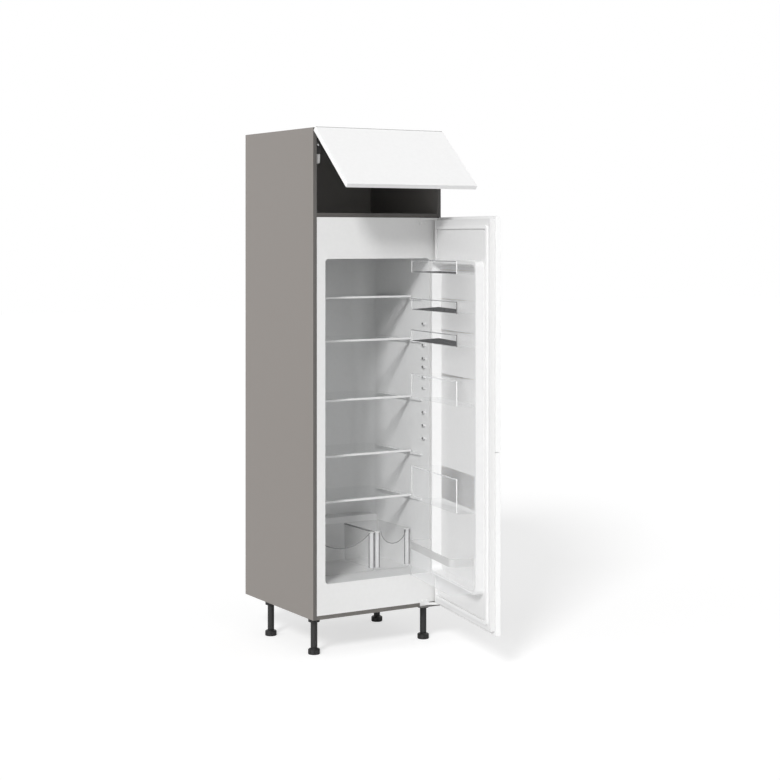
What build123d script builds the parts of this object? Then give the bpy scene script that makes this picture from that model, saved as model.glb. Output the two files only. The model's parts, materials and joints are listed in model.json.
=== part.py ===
from build123d import *
import os
from math import cos, pi, sin

os.makedirs("parts", exist_ok=True)

# Tall housing for a built-in fridge, stood open: door on the right, lift-up flap on top.
# X runs to the right, Y to the back, Z up. The origin is on the floor under the carcass.

# Carcass
carcass_width = 600.0
carcass_depth = 600.0
carcass_height = 1950.0
leg_height = 150.0
panel = 16.0
niche_height = 1580.0
back_panel = 8.0
back_panel_from_rear = 50.0
groove_depth = 5.0
groove_clearance = 0.2
rail_height = 100.0
top_setback = 3.0
vent_width = 400.0
vent_depth = 60.0
wall_hole_radius = 3.0
wall_hole_spacing = 480.0

# Adjustable legs
leg_side_inset = 42.0
leg_front_inset = 70.0
leg_rear_inset = carcass_depth - 154.0
flange_radius = 23.5
flange_height = 21.0
tube_radius = 13.5
stem_radius = 5.0
stem_clearance = 0.05
foot_radius = 24.0
foot_height = 26.0
foot_grip_count = 8
foot_grip_radius = 2.5
foot_gap = 0.3
foot_shoulder = 3.0
stem_engagement = 50.0
stem_bore_spare = 10.0
flange_rim = 4.0
socket_wall = 3.0

# Appliance body
side_clearance = 1.0
sheet = 1.0
front_frame_depth = 3.0
appliance_depth = carcass_depth - 55.0
opening_side = 39.0
opening_bottom = 122.0
opening_top = 167.0
opening_corner = 14.0
liner_wall = 2.0
cavity_floor = panel + opening_bottom
sill_depth = 12.0
cavity_back = appliance_depth - 37.0
cavity_back_corner = 80.0
machine_front = appliance_depth - 90.0
machine_top = 290.0
machine_foam = 30.0

# Shelves and their supports, heights above the underside of the carcass
shelf_tops = [1273.0, 1096.5, 855.0, 628.0, 442.5]
shelf_front = 135.0
shelf_back = cavity_back - 38.0
shelf_side_gap = 5.0
shelf_glass = 4.0
shelf_trim_height = 9.0
shelf_trim_depth = 14.0
shelf_trim_round = 3.0
shelf_recess = 2.0
shelf_grip = 4.0
shelf_rail_width = 10.0
shelf_rail_short = 70.0
shelf_corner = 60.0
shelf_seat_gap = 0.3
ledge_width = 8.0
ledge_height = 8.0
ledge_front = 60.0
ledge_back = cavity_back - 83.0
nose_heights = [1158.0, 1070.0, 1015.0, 980.0, 937.0, 892.0, 792.0, 738.0, 684.5]
nose_front = 30.0
nose_length = 24.0
nose_height = 8.0

lamp_front = 170.0
lamp_length = 140.0
lamp_width = 130.0
lamp_thickness = 1.8

# Crisper drawers
drawer_wall = 2.5
drawer_side_gap = 6.0
drawer_split = carcass_width - 232.0
drawer_split_gap = 2.0
drawer_front = 135.0
drawer_depth = 270.0
drawer_top = 298.0
drawer_dip = 54.0
drawer_floor_gap = 0.3
drawer_post_radius = 12.5
drawer_foot_radius = 10.0

# Fridge door, in its closed place
door_hinge_side = 22.0
door_hinge_front = 22.5
door_pin_radius = 3.0
door_pin_clearance = 0.05
door_pin_grip = 12.0
hinge_eye_radius = 5.4
hinge_arm_inset = 15.0
door_rest_angle = 78.5
door_side_margin = 10.0
door_bottom = 16.0
door_top = 1586.0
door_inner = 7.0
door_thickness = 20.5
door_skin = 1.0
cap_height = 14.0
liner_sheet = 2.0
gasket_inset = 18.5
gasket_width = 13.0
gasket_bottom = 36.0
gasket_top = 1562.0
gasket_seal_gap = 0.3
pad_depth = 4.0
pad_margin = 5.0
dike_opening_gap = 6.0
dike_reach = 30.0
dike_rim = 13.0
dike_hinge_slope = 21.0
dike_handle_slope = 10.0
dike_corner = 22.0

# Door racks: bottom and top above the underside of the carcass
rack_levels = [(1372.0, 1424.0), (1220.0, 1268.0), (1093.0, 1141.0), (866.0, 963.0), (456.0, 588.0)]
rack_wall = 2.5
rack_reach = 92.0
rack_hinge_reach = 119.0
rack_handle_end = 85.0
rack_hinge_end = carcass_width - 67.0
rack_corner = 10.0
rack_rim = 4.0
rack_rim_gap = 2.0
rack_corner_gap = 13.0
bottle_rack_bottom = 146.0
bottle_rack_top = 305.0
bottle_rack_reach = 125.0
bottle_rack_step = 9.0
bottle_rack_drop = 13.0
bottle_rack_steps = 4
bottle_rack_foot_drop = 60.0
bottle_rack_hinge_corner = 30.0
bottle_rack_handle_corner = 12.0

# Furniture fronts
front_thickness = 19.0
front_gap = 1.0
front_side_gap = 1.5
front_seam = 697.0
seam_gap = 3.0
front_edge_radius = 0.8
bracket_width = 60.0
bracket_height = 40.0
bracket_inset = 60.0
bracket_rows_out = 90.0

# Lift-up flap, in its closed place
flap_bottom = panel + niche_height + 5.5
flap_top = carcass_height - front_side_gap
flap_front_gap = 2.0
flap_pivot_front = 13.0
flap_pivot_below_top = 6.0
flap_rest_angle = 48.0
flap_pin_radius = 2.0
flap_pin_clearance = 0.05
flap_eye_radius = 4.2
flap_hinge_inset = 90.0
flap_hinge_width = 14.0
flap_notch_height = 18.0
flap_notch_depth = 16.0
hinge_cup_wall = 1.0
cup_clearance = 0.1
hinge_plate = 3.0

# Lift-up fitting beside the flap
lift_width = 19.0
lift_top = 68.0
lift_height = 75.0
lift_depth = 90.0
lift_front = 8.0
lift_corner = 10.0

# Rear side of the appliance
condenser_tube = 2.5
condenser_left = 70.0
condenser_right = carcass_width - 70.0
condenser_bottom = 430.0
condenser_pitch = 80.0
condenser_passes = 13
condenser_standoff = 16.0
condenser_wire = 1.6
condenser_wire_count = 14
condenser_wire_over = 15.0
condenser_clip_width = 10.0
condenser_clip_height = 6.0
condenser_clip_inset = 20.0
compressor_width = 170.0
compressor_depth = 118.0
compressor_height = 150.0
compressor_foot = 12.0
compressor_crown = 24.0
compressor_gap = 2.0
rubber_foot_radius = 10.0
rubber_foot_across = 55.0
rubber_foot_along = 30.0
rubber_foot_top = 26.0
tray_length = 140.0
tray_width = 90.0
tray_height = 40.0
tray_wall = 2.0
gland_from_right = 90.0
gland_radius = 9.0
gland_bore = 4.0
gland_length = 10.0
gland_floor = 2.0
base_plate = 2.0
base_plate_back = carcass_depth - 18.0

# How far a cutting block runs past the face that it opens
cut_past = 5.0

left = -carcass_width / 2
right = carcass_width / 2
front = -carcass_depth / 2
rear = carcass_depth / 2
bottom = leg_height
top = leg_height + carcass_height
niche_bottom = bottom + panel
niche_top = niche_bottom + niche_height
shelf_board_top = niche_top + panel
body_left = left + panel + side_clearance
body_right = right - panel - side_clearance
body_rear = front + appliance_depth
body_top = niche_top - side_clearance
opening_left = left + panel + opening_side
opening_right = right - panel - opening_side
opening_floor = niche_bottom + opening_bottom
opening_ceiling = niche_top - opening_top
hinge_x = right - door_hinge_side
hinge_y = front - door_hinge_front
flap_pivot_y = front - flap_pivot_front
flap_pivot_z = bottom + flap_top - flap_pivot_below_top


def block(x0, x1, y0, y1, z0, z1):
    corner = (Align.MIN, Align.MIN, Align.MIN)
    return Pos(x0, y0, z0) * Box(x1 - x0, y1 - y0, z1 - z0, align=corner)


def upright(radius, x, y, z0, z1):
    base = (Align.CENTER, Align.CENTER, Align.MIN)
    return Pos(x, y, z0) * Cylinder(radius, z1 - z0, align=base)


def crosswise(radius, x0, x1, y, z):
    base = (Align.CENTER, Align.CENTER, Align.MIN)
    return Pos(x0, y, z) * Rot(0, 90, 0) * Cylinder(radius, x1 - x0, align=base)


def plate_outline(x0, x1, z0, z1, radius, y, depth):
    """A slab with rounded corners that stands facing the front, from y to y + depth."""
    middle = Plane(origin=((x0 + x1) / 2, y, (z0 + z1) / 2), x_dir=(1, 0, 0), z_dir=(0, 1, 0))
    return extrude(middle * RectangleRounded(x1 - x0, z1 - z0, radius), depth)


def door_open(shape):
    return shape.rotate(Axis((hinge_x, hinge_y, 0), (0, 0, 1)), door_rest_angle)


def flap_open(shape):
    return shape.rotate(Axis((0, flap_pivot_y, flap_pivot_z), (-1, 0, 0)), flap_rest_angle)


def save(shape, name):
    export_step(shape, f"parts/{name}.step")


def side_panel(x0, inner_x):
    board = block(x0, x0 + panel, front, rear, bottom, top)
    groove_y = rear - back_panel_from_rear - back_panel
    groove = block(
        inner_x - groove_depth,
        inner_x + groove_depth,
        groove_y - groove_clearance,
        groove_y + back_panel + groove_clearance,
        shelf_board_top - groove_depth,
        top - panel + groove_depth,
    )
    return board - groove


def vented_board(z0, front_y):
    board = block(left + panel, right - panel, front_y, rear, z0, z0 + panel)
    vent = block(-vent_width / 2, vent_width / 2, rear - vent_depth, rear + panel, z0 - 1, z0 + panel + 1)
    return board - vent


def top_board():
    board = block(left + panel, right - panel, front + top_setback, rear, top - panel, top)
    half = vent_width / 2
    vent_y = rear - back_panel_from_rear + panel
    vent = block(-half, half, vent_y, rear + panel, top - panel - 1, top + 1)
    return board - vent


def upper_back():
    y0 = rear - back_panel_from_rear - back_panel
    grip = groove_depth - groove_clearance
    return block(left + panel - grip, right - panel + grip, y0, y0 + back_panel, shelf_board_top, top - panel)


def rear_rails():
    rails = []
    for z0 in ((niche_bottom + niche_top) / 2, niche_top - rail_height):
        rails.append(block(left + panel, right - panel, rear - panel, rear, z0, z0 + rail_height))
    upper = block(left + panel, right - panel, rear - panel, rear, top - panel - rail_height, top - panel)
    for x in (-wall_hole_spacing / 2, wall_hole_spacing / 2):
        place = Pos(x, rear, top - panel - rail_height / 2) * Rot(90, 0, 0)
        hole = place * Cylinder(wall_hole_radius, 4 * panel)
        upper -= hole
    return Compound(children=rails + [upper])


def leg(x, y):
    socket_z = bottom - flange_height
    tube_z = foot_height + foot_gap
    bore_top = tube_z + stem_engagement + stem_bore_spare
    flange = Polyline(
        (0, bottom),
        (flange_radius, bottom),
        (flange_radius, bottom - flange_rim),
        (flange_radius - flange_rim, bottom - 1.5 * flange_rim),
        (tube_radius + socket_wall, socket_z),
        (tube_radius, socket_z),
        (tube_radius, tube_z + 2),
        (tube_radius - 1, tube_z),
        (stem_radius + stem_clearance, tube_z),
        (stem_radius + stem_clearance, bore_top),
        (0, bore_top),
        close=True,
    )
    body = revolve(Plane.XZ * make_face(flange), Axis.Z)
    return Pos(x, y, 0) * body


def foot(x, y):
    rim = foot_radius
    profile = Polyline(
        (0, 0),
        (rim - foot_shoulder / 2, 0),
        (rim, foot_shoulder / 2),
        (rim, foot_height - 2.5 * foot_shoulder),
        (rim - foot_shoulder, foot_height - 1.5 * foot_shoulder),
        (tube_radius, foot_height - foot_shoulder),
        (tube_radius, foot_height),
        (stem_radius, foot_height),
        (stem_radius, foot_height + stem_engagement),
        (0, foot_height + stem_engagement),
        close=True,
    )
    body = revolve(Plane.XZ * make_face(profile), Axis.Z)
    for index in range(foot_grip_count):
        angle = 2 * pi * (index + 0.5) / foot_grip_count
        place = (rim * cos(angle), rim * sin(angle))
        body -= upright(foot_grip_radius, place[0], place[1], foot_shoulder, foot_height)
    return Pos(x, y, 0) * body


def machine_space(grow):
    return block(
        body_left - cut_past,
        body_right + cut_past,
        front + machine_front - grow,
        rear,
        bottom,
        bottom + machine_top + grow,
    )


def casing():
    outer = block(body_left, body_right, front + front_frame_depth, body_rear, niche_bottom, body_top)
    inner = block(
        body_left + sheet,
        body_right - sheet,
        front - cut_past,
        body_rear - sheet,
        niche_bottom + sheet,
        body_top - sheet,
    )
    shell = (outer - machine_space(0)) - (inner - machine_space(sheet))
    floor_plate = block(
        body_left,
        body_right,
        front + machine_front,
        front + base_plate_back,
        niche_bottom,
        niche_bottom + base_plate,
    )
    return shell + floor_plate


def throat(grow, y0, y1):
    return plate_outline(
        opening_left - grow,
        opening_right + grow,
        opening_floor - grow,
        opening_ceiling + grow,
        opening_corner + grow,
        y0,
        y1 - y0,
    )


def cavity(grow):
    x0 = opening_left - grow
    x1 = opening_right + grow
    y0 = front + sill_depth - grow
    y1 = front + cavity_back + grow
    room = block(x0, x1, y0, y1, bottom + cavity_floor - grow, opening_ceiling + grow)
    rear_edges = room.edges().filter_by(Axis.Z).sort_by(Axis.Y)[-2:]
    room = fillet(rear_edges, cavity_back_corner + grow)
    step = block(
        x0 - cut_past,
        x1 + cut_past,
        front + machine_front - machine_foam + grow,
        y1 + cut_past,
        bottom,
        bottom + machine_top + machine_foam - grow,
    )
    return room - step


def front_frame():
    plate = block(body_left, body_right, front, front + front_frame_depth, niche_bottom, body_top)
    return plate - throat(0, front - cut_past, front + front_frame_depth + cut_past)


def foam_room():
    """The space the foam leaves free: the cavity with its liner, carried on to the front."""
    mouth = block(
        opening_left - liner_wall,
        opening_right + liner_wall,
        front - liner_wall,
        front + sill_depth,
        opening_floor - liner_wall,
        opening_ceiling + liner_wall,
    )
    return cavity(liner_wall) + mouth


def foam_sections():
    """Walls, floor, ceiling and back of the foam, as x and z ranges that meet face to face."""
    x0 = opening_left - liner_wall
    x1 = opening_right + liner_wall
    x_left = opening_left + cavity_back_corner
    x_right = opening_right - cavity_back_corner
    z_floor = opening_floor - liner_wall
    z_machine = bottom + machine_top + sheet
    z_step = bottom + machine_top + machine_foam - liner_wall
    z_ceiling = opening_ceiling + liner_wall
    return [
        (left, right, bottom, z_floor),
        (left, right, z_ceiling, niche_top),
        (left, x0, z_floor, z_machine),
        (left, x0, z_machine, z_ceiling),
        (x1, right, z_floor, z_machine),
        (x1, right, z_machine, z_ceiling),
        (x0, x1, z_floor, z_machine),
        (x0, x1, z_machine, z_step),
        (x0, x_left, z_step, z_ceiling),
        (x_left, x_right, z_step, z_ceiling),
        (x_right, x1, z_step, z_ceiling),
    ]


def insulation():
    foam = block(
        body_left + sheet,
        body_right - sheet,
        front + front_frame_depth,
        body_rear - sheet,
        niche_bottom + sheet,
        body_top - sheet,
    )
    foam -= machine_space(sheet)
    foam -= foam_room()
    pieces = []
    for x0, x1, z0, z1 in foam_sections():
        pieces += (foam & block(x0, x1, front, rear, z0, z1)).solids()
    return Compound(children=pieces)


def ledges():
    pieces = []
    for height in shelf_tops:
        z1 = bottom + height - shelf_trim_height - shelf_seat_gap
        for x0 in (opening_left, opening_right - ledge_width):
            y0 = front + ledge_front
            y1 = front + ledge_back
            pieces.append(block(x0, x0 + ledge_width, y0, y1, z1 - ledge_height, z1))
    for height in nose_heights:
        z0 = bottom + height - nose_height / 2
        for x0 in (opening_left, opening_right - ledge_width):
            y0 = front + nose_front
            nose = block(x0, x0 + ledge_width, y0, y0 + nose_length, z0, z0 + nose_height)
            pieces.append(nose)
    return pieces


def inner_liner():
    outer = cavity(liner_wall) + throat(liner_wall, front + front_frame_depth, front + sill_depth + cut_past)
    inner = cavity(0) + throat(0, front - cut_past, front + sill_depth + cut_past)
    shell = outer - inner
    for piece in ledges():
        shell += piece
    return shell


def lamp_housing():
    """A flat lamp cover in the ceiling of the cavity."""
    y0 = front + lamp_front
    z0 = opening_ceiling - lamp_thickness
    lamp = block(-lamp_length / 2, lamp_length / 2, y0, y0 + lamp_width, z0, opening_ceiling)
    return fillet(lamp.edges().group_by(Axis.Z)[0], lamp_thickness / 2)


def compressor_place():
    """Middle line of the compressor, front to back, and the top of its feet."""
    y = front + base_plate_back - compressor_depth / 2 - compressor_gap
    return y, niche_bottom + base_plate + compressor_foot


def compressor():
    y, shell_z = compressor_place()
    outline = Pos(0, y, shell_z) * Ellipse(compressor_width / 2, compressor_depth / 2)
    pot = extrude(outline, compressor_height)
    pot = fillet(pot.edges().filter_by(GeomType.ELLIPSE), compressor_crown)
    foot_z = niche_bottom + base_plate
    for x in (-rubber_foot_across, rubber_foot_across):
        for shift in (-rubber_foot_along, rubber_foot_along):
            pot += upright(rubber_foot_radius, x, y + shift, foot_z, shell_z + rubber_foot_top)
    return pot


def evaporation_tray():
    y, shell_z = compressor_place()
    z0 = shell_z + compressor_height
    x1 = tray_length / 2
    y1 = tray_width / 2
    outer = block(-x1, x1, y - y1, y + y1, z0, z0 + tray_height)
    inner = block(
        -x1 + tray_wall,
        x1 - tray_wall,
        y - y1 + tray_wall,
        y + y1 - tray_wall,
        z0 + tray_wall,
        z0 + tray_height + cut_past,
    )
    return outer - inner


def condenser():
    y = body_rear + condenser_standoff
    x0 = left + condenser_left
    x1 = left + condenser_right
    bend = condenser_pitch / 2
    z0 = bottom + condenser_bottom
    path = []
    for index in range(condenser_passes):
        z = z0 + index * condenser_pitch
        path.append(Line((x0 + bend, y, z), (x1 - bend, y, z)))
        if index < condenser_passes - 1:
            at_right = index % 2 == 0
            x = x1 - bend if at_right else x0 + bend
            tip = x + bend if at_right else x - bend
            path.append(ThreePointArc((x, y, z), (tip, y, z + bend), (x, y, z + condenser_pitch)))
    tubes = []
    for piece in path:
        section = Plane(origin=piece @ 0, z_dir=piece % 0) * Circle(condenser_tube)
        tubes.append(sweep(section, path=piece))
    body = tubes[0]
    for tube in tubes[1:]:
        body += tube
    z1 = z0 + (condenser_passes - 1) * condenser_pitch
    for index in range(condenser_wire_count):
        x = x0 + bend + (x1 - x0 - 2 * bend) * (index + 0.5) / condenser_wire_count
        wire_y = y + condenser_wire
        low = z0 - condenser_wire_over
        high = z1 + condenser_wire_over
        body += block(x, x + condenser_wire, wire_y, wire_y + condenser_wire, low, high)
    inset = bend + condenser_clip_inset
    for x in (x0 + inset, x1 - inset - condenser_clip_width):
        for z in (z0 + condenser_pitch, z1 - condenser_pitch):
            half = condenser_clip_height / 2
            body += block(x, x + condenser_clip_width, body_rear, y, z - half, z + half)
    return body


def cord_gland():
    """Round collar where the mains lead goes in; the lead itself isn't part of this model."""
    base = (Align.CENTER, Align.CENTER, Align.MIN)
    place = Pos(right - gland_from_right, body_rear, bottom + machine_top + machine_foam) * Rot(-90, 0, 0)
    collar = Cylinder(gland_radius, gland_length, align=base)
    bore = Pos(0, 0, gland_floor) * Cylinder(gland_bore, gland_length, align=base)
    return place * (collar - bore)


def hinge_bracket(tab, arm, pin):
    """A plate screwed to the front frame, an arm that reaches out from it, and the pin of the door."""
    tab_x0, tab_x1, tab_z0, tab_z1 = tab
    plate = block(tab_x0, tab_x1, front - hinge_plate, front, tab_z0, tab_z1)
    reach = Plane.XY.offset(arm[0]) * make_face(
        Polyline(
            (tab_x0 + hinge_arm_inset, front),
            (tab_x1, front),
            (hinge_x + hinge_eye_radius / 3, hinge_y + hinge_eye_radius),
            (hinge_x - hinge_eye_radius / 2, hinge_y - hinge_eye_radius * 0.8),
            close=True,
        )
    )
    body = plate + extrude(reach, arm[1] - arm[0])
    body += upright(hinge_eye_radius, hinge_x, hinge_y, arm[0], arm[1])
    return body + upright(door_pin_radius, hinge_x, hinge_y, pin[0], pin[1])


def upper_hinge():
    z = bottom + door_top
    plate = (right - 105, right - 55, z - 22, z + 7)
    return hinge_bracket(plate, (z + 2, z + 7), (z - door_pin_grip + 1, z + 3))


def lower_hinge():
    z = bottom + door_bottom
    plate = (right - 102, right - 59, z - 13, z + 18)
    return hinge_bracket(plate, (z - 11, z - 2), (z - 3, z + door_pin_grip - 1))


def door_box(inset, y_front, y_back, z0, z1):
    return block(left + door_side_margin + inset, right - door_side_margin - inset, y_front, y_back, z0, z1)


def door_outer_panel():
    y_front = front - door_inner - door_thickness
    y_back = front - door_inner - liner_sheet
    outer = door_box(0, y_front, y_back, bottom + door_bottom + cap_height, bottom + door_top - cap_height)
    inner = door_box(door_skin, y_front + door_skin, y_back + 5, bottom + door_bottom, bottom + door_top)
    return outer - inner


def door_foam():
    y_front = front - door_inner - door_thickness + door_skin
    y_back = front - door_inner - liner_sheet
    z0 = bottom + door_bottom + cap_height
    z1 = bottom + door_top - cap_height
    return door_box(door_skin, y_front, y_back, z0, z1)


def end_cap(z0, z1):
    cap = door_box(0, front - door_inner - door_thickness, front - door_inner, z0, z1)
    return cap - upright(door_pin_radius + door_pin_clearance, hinge_x, hinge_y, z0 - 1, z1 + 1)


def ring_loft(x0, x1, z0, z1, radius, y0, tx0, tx1, tz0, tz1, tradius, y1):
    low = Plane(origin=((x0 + x1) / 2, y0, (z0 + z1) / 2), x_dir=(1, 0, 0), z_dir=(0, 1, 0))
    high = Plane(origin=((tx0 + tx1) / 2, y1, (tz0 + tz1) / 2), x_dir=(1, 0, 0), z_dir=(0, 1, 0))
    sections = [
        low * RectangleRounded(x1 - x0, z1 - z0, radius),
        high * RectangleRounded(tx1 - tx0, tz1 - tz0, tradius),
    ]
    return loft(sections, ruled=True)


def door_liner():
    y = front - door_inner
    z0 = bottom + door_bottom + cap_height
    z1 = bottom + door_top - cap_height
    body = door_box(0, y - liner_sheet, y, z0, z1)
    seal_inner = gasket_inset + gasket_width + pad_margin
    pad_x0 = left + door_side_margin + seal_inner
    pad_x1 = right - door_side_margin - seal_inner
    pad_z0 = bottom + gasket_bottom + gasket_width + pad_margin
    pad_z1 = bottom + gasket_top - gasket_width - pad_margin
    body += plate_outline(pad_x0, pad_x1, pad_z0, pad_z1, dike_corner, y, pad_depth)
    return body + dike(y)


def door_end_caps():
    z0 = bottom + door_bottom
    z1 = bottom + door_top
    return Compound(children=[end_cap(z0, z0 + cap_height), end_cap(z1 - cap_height, z1)])


def dike(y):
    x0 = opening_left + dike_opening_gap
    x1 = opening_right - dike_opening_gap
    z0 = opening_floor + dike_opening_gap
    z1 = opening_ceiling - dike_opening_gap
    tip = front + dike_reach
    outer = ring_loft(
        x0 - 2, x1 + 2, z0 - 2, z1 + 2, dike_corner, y, x0, x1, z0, z1, dike_corner, tip
    )
    inner = ring_loft(
        x0 + dike_rim + dike_handle_slope,
        x1 - dike_rim - dike_hinge_slope,
        z0 + dike_rim + dike_handle_slope,
        z1 - dike_rim - dike_handle_slope,
        dike_corner,
        y + pad_depth,
        x0 + dike_rim,
        x1 - dike_rim,
        z0 + dike_rim,
        z1 - dike_rim,
        dike_corner,
        tip + 0.01,
    )
    return outer - inner


def gasket():
    y0 = front - door_inner
    depth = door_inner - gasket_seal_gap
    x0 = left + door_side_margin + gasket_inset
    x1 = right - door_side_margin - gasket_inset
    z0 = bottom + gasket_bottom
    z1 = bottom + gasket_top
    outer = plate_outline(x0, x1, z0, z1, 16, y0, depth)
    w = gasket_width
    return outer - plate_outline(x0 + w, x1 - w, z0 + w, z1 - w, 6, y0 - 5, depth + 10)


def rack_foot():
    """Where the foot of a rack stands: between the raised rims of the door, back to its liner."""
    slack = dike_opening_gap + dike_rim + rack_rim_gap
    x0 = opening_left + slack + dike_handle_slope
    x1 = opening_right - slack - dike_hinge_slope
    z0 = opening_floor + slack + dike_handle_slope + rack_corner_gap
    z1 = opening_ceiling - slack - dike_handle_slope - rack_corner_gap
    return x0, x1, z0, z1, front - door_inner + pad_depth


def tray(plan, wall, z0, z1, foot_top, back_y, x0, x1):
    outer = extrude(Plane.XY.offset(z0) * plan, z1 - z0)
    outer += block(x0, x1, back_y, front + dike_reach + 2, z0, foot_top)
    inner_plan = offset(plan, amount=-wall)
    inner = extrude(Plane.XY.offset(z0 + wall) * inner_plan, z1 - z0)
    inner += block(x0 + wall, x1 - wall, back_y + wall, front + dike_reach + 10, z0 + wall, z1 + 5)
    return outer - inner


def rack_plan():
    """Seen from above: a tray that reaches a little further in at its hinge end."""
    y0 = front + dike_reach + rack_rim_gap / 2
    x0 = left + rack_handle_end
    x1 = left + rack_hinge_end
    outline = make_face(
        Polyline((x0, y0), (x1, y0), (x1, front + rack_hinge_reach), (x0, front + rack_reach), close=True)
    )
    return fillet(outline.vertices(), rack_corner)


def rack(z0, z1):
    x0, x1, foot_floor, foot_ceiling, back_y = rack_foot()
    plan = rack_plan()
    body = tray(plan, rack_wall, z0, z1, min(z1, foot_ceiling), back_y, x0, x1)
    rim_plan = plan - offset(plan, amount=-rack_rim)
    rim = extrude(Plane.XY.offset(z1 - rack_rim) * rim_plan, rack_rim)
    mouth = block(
        x0 + rack_wall,
        x1 - rack_wall,
        back_y + rack_wall,
        front + dike_reach + rack_corner,
        z0 + rack_wall,
        z1 + rack_corner,
    )
    return body + rim - mouth


def bottle_rack_plan():
    """Front line of the bottle rack: rounded at the hinge side, stepped back towards the handle."""
    y0 = front + dike_reach + 1
    x0 = left + rack_handle_end
    x1 = left + rack_hinge_end
    run = (x1 - x0) / bottle_rack_steps
    points = [(x0, y0)]
    for index in range(bottle_rack_steps):
        y = front + bottle_rack_reach - (bottle_rack_steps - 1 - index) * bottle_rack_step
        points.append((x0 + index * run, y))
        points.append((x0 + (index + 1) * run, y))
    points.append((x1, y0))
    outline = make_face(Polyline(*points, close=True))
    corners = outline.vertices().sort_by(Axis.X)
    hinge_corner = [v for v in corners if v.X > x1 - 1 and v.Y > y0 + 1]
    outline = fillet(hinge_corner, bottle_rack_hinge_corner)
    handle_corner = [v for v in outline.vertices() if v.X < x0 + 1 and v.Y > y0 + 1]
    return fillet(handle_corner, bottle_rack_handle_corner)


def bottle_rack():
    z0 = bottom + bottle_rack_bottom
    z1 = bottom + bottle_rack_top
    x0, x1, dike_floor, foot_ceiling, back_y = rack_foot()
    plan = bottle_rack_plan()
    wall = rack_wall
    outer = extrude(Plane.XY.offset(z0) * plan, z1 - z0)
    outer += block(x0, x1, back_y, front + dike_reach + 2, dike_floor, z1 - bottle_rack_foot_drop)
    inner = extrude(Plane.XY.offset(z0 + wall) * offset(plan, amount=-wall), z1 - z0)
    foot_y = front + dike_reach + 2 * cut_past
    inner += block(x0 + wall, x1 - wall, back_y + wall, foot_y, dike_floor + wall, z1 + cut_past)
    body = outer - inner
    run = (rack_hinge_end - rack_handle_end) / bottle_rack_steps
    for index in range(bottle_rack_steps - 1):
        drop = (bottle_rack_steps - 1 - index) * bottle_rack_drop
        edge = left + rack_handle_end + index * run
        y0 = front + dike_reach + cut_past
        y1 = front + bottle_rack_reach + cut_past
        body -= block(edge - cut_past, edge + run, y0, y1, z1 - drop, z1 + cut_past)
    return body


def upper_front():
    return furniture_front(bottom + front_seam + seam_gap / 2, niche_top + 1)


def lower_front():
    return furniture_front(bottom, bottom + front_seam - seam_gap / 2)


def furniture_front(z0, z1):
    y1 = front - door_inner - door_thickness - front_gap
    slab = block(left + front_side_gap, right - front_side_gap, y1 - front_thickness, y1, z0, z1)
    return fillet(slab.edges().group_by(Axis.Y)[0], front_edge_radius)


def front_brackets():
    """Flat plates that hold the furniture fronts on the appliance door and to each other."""
    y1 = front - door_inner - door_thickness
    y0 = y1 - front_gap
    half = bracket_width / 2
    high = bottom + door_top - bracket_inset
    low = bottom + bracket_inset
    seam = bottom + front_seam
    plates = []
    for x in (left + bracket_rows_out, 0, right - bracket_rows_out - bracket_width):
        plates.append(block(x - half, x + half, y0, y1, high, high + bracket_height))
        plates.append(block(x - half, x + half, y0, y1, low, low + bracket_height))
        plates.append(block(x - half, x + half, y0, y1, seam - bracket_inset, seam + bracket_inset))
    return Compound(children=plates)


def flap_hinge_places():
    return (left + flap_hinge_inset, right - flap_hinge_inset)


def flap_notch(x, spare):
    y1 = front - flap_front_gap
    return block(
        x - flap_hinge_width / 2 - 1 - spare,
        x + flap_hinge_width / 2 + 1 + spare,
        y1 - flap_notch_depth - spare,
        y1 + 20,
        flap_pivot_z - flap_notch_height - spare,
        flap_pivot_z + 30,
    )


def flap_front():
    y1 = front - flap_front_gap
    z0 = bottom + flap_bottom
    z1 = bottom + flap_top
    slab = block(left + front_side_gap, right - front_side_gap, y1 - front_thickness, y1, z0, z1)
    slab = fillet(slab.edges().group_by(Axis.Y)[0], front_edge_radius)
    for x in flap_hinge_places():
        slab -= flap_notch(x, hinge_cup_wall + cup_clearance)
    return slab


def flap_fittings():
    """Hinge cups in the notches of the flap, with their cross pins."""
    y1 = front - flap_front_gap
    cups = []
    for x in flap_hinge_places():
        half = flap_hinge_width / 2 + hinge_cup_wall
        shell = block(
            x - half - hinge_cup_wall,
            x + half + hinge_cup_wall,
            y1 - flap_notch_depth - hinge_cup_wall,
            y1,
            flap_pivot_z - flap_notch_height - hinge_cup_wall,
            bottom + flap_top,
        )
        cup = shell - flap_notch(x, 0)
        cup += crosswise(flap_pin_radius, x - half, x + half, flap_pivot_y, flap_pivot_z)
        cups.append(cup)
    return Compound(children=cups)


def flap_hinge_arms():
    arms = []
    z_under = top - panel
    for x in flap_hinge_places():
        half = flap_hinge_width / 2 - 1
        outline = Plane.YZ.offset(x - half) * make_face(
            Polyline(
                (front + top_setback - 1, z_under),
                (front + 60, z_under),
                (front + 60, z_under - hinge_plate),
                (front + 8, z_under - hinge_plate),
                (flap_pivot_y, flap_pivot_z - flap_eye_radius),
                (flap_pivot_y + 2, flap_pivot_z + flap_eye_radius - 1),
                close=True,
            )
        )
        arm = extrude(outline, 2 * half)
        arm += crosswise(flap_eye_radius, x - half, x + half, flap_pivot_y, flap_pivot_z)
        bore = flap_pin_radius + flap_pin_clearance
        arm -= crosswise(bore, x - half - 1, x + half + 1, flap_pivot_y, flap_pivot_z)
        arm += block(x - 22, x + 22, front + 25, front + 60, z_under - hinge_plate, z_under)
        arms.append(arm)
    return Compound(children=arms)


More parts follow.
